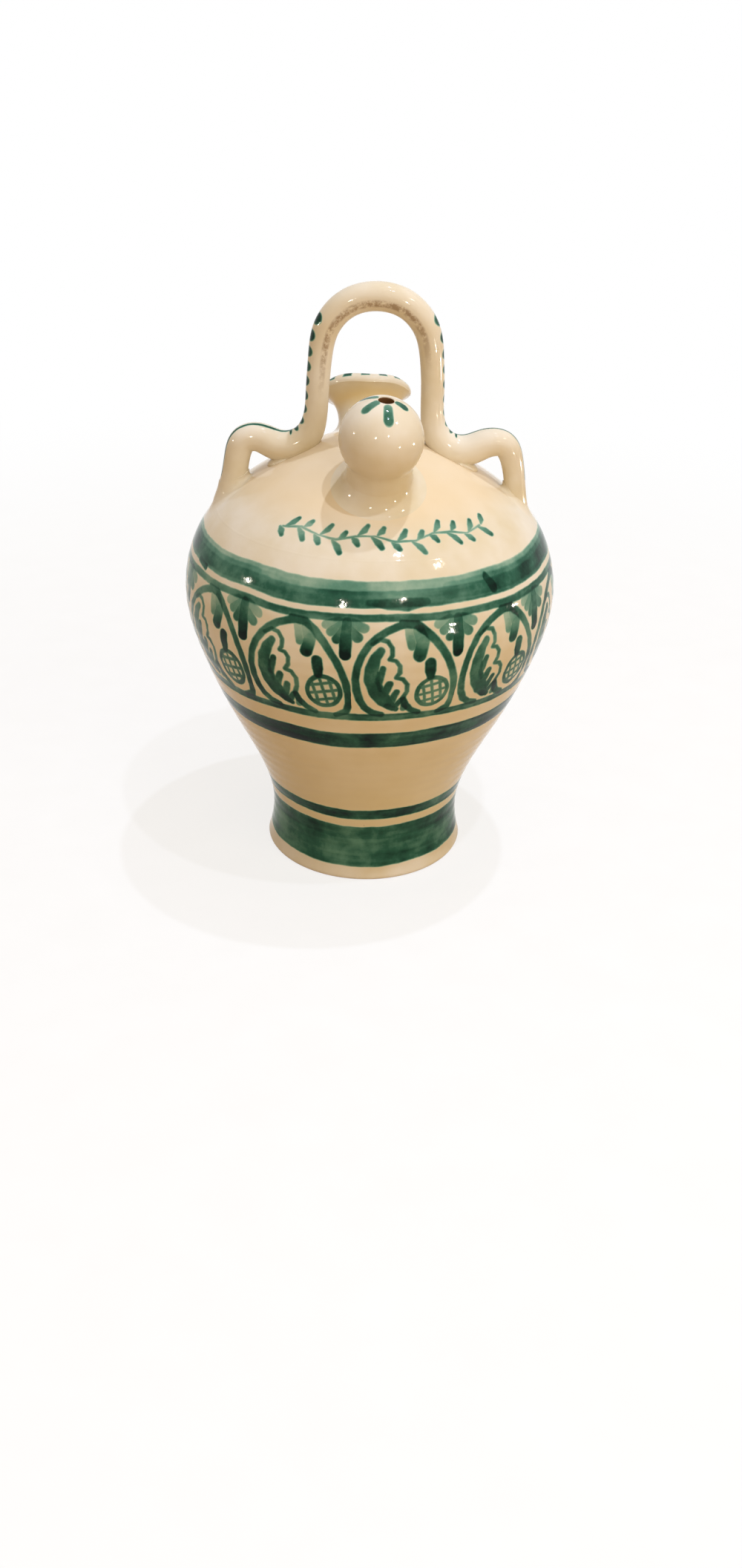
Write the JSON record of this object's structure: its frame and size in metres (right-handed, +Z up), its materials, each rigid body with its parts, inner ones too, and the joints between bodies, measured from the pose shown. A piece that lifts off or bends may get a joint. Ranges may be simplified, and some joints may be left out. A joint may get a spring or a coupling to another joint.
{
  "type": "spanish botijo",
  "caption": "Glazed earthenware water jug with a footed round belly, closed dome, ball-topped drinking spout, flared filling mouth and an arched coil handle.",
  "frame": {"origin": "centre of the standing ring, on the surface that the jug stands on", "axes": "+Z up along the throwing axis; the drinking spout leans to -Y, the filling mouth to +Y, and the handle stands across X"},
  "size_m": [0.236, 0.236, 0.3753],
  "materials": {
    "cream_glaze": "glossy cream tin glaze over fired earthenware, with a few green brush strokes",
    "painted_glaze": "glossy cream tin glaze with copper-green brush-painted bands and a pomegranate frieze"
  },
  "bodies": {
    "root": {"foot": "painted_glaze", "foot_seam_slip": "painted_glaze", "belly_wall": "painted_glaze", "belly_seam_slip": "cream_glaze", "shoulder_dome": "cream_glaze", "spout": "cream_glaze", "spout_seat_slip": "cream_glaze", "mouth": "cream_glaze", "mouth_seat_slip": "cream_glaze", "handle": "cream_glaze", "left_root_slip": "cream_glaze", "right_root_slip": "cream_glaze", "left_saddle_slip": "cream_glaze", "right_saddle_slip": "cream_glaze"}
  },
  "joints": []
}
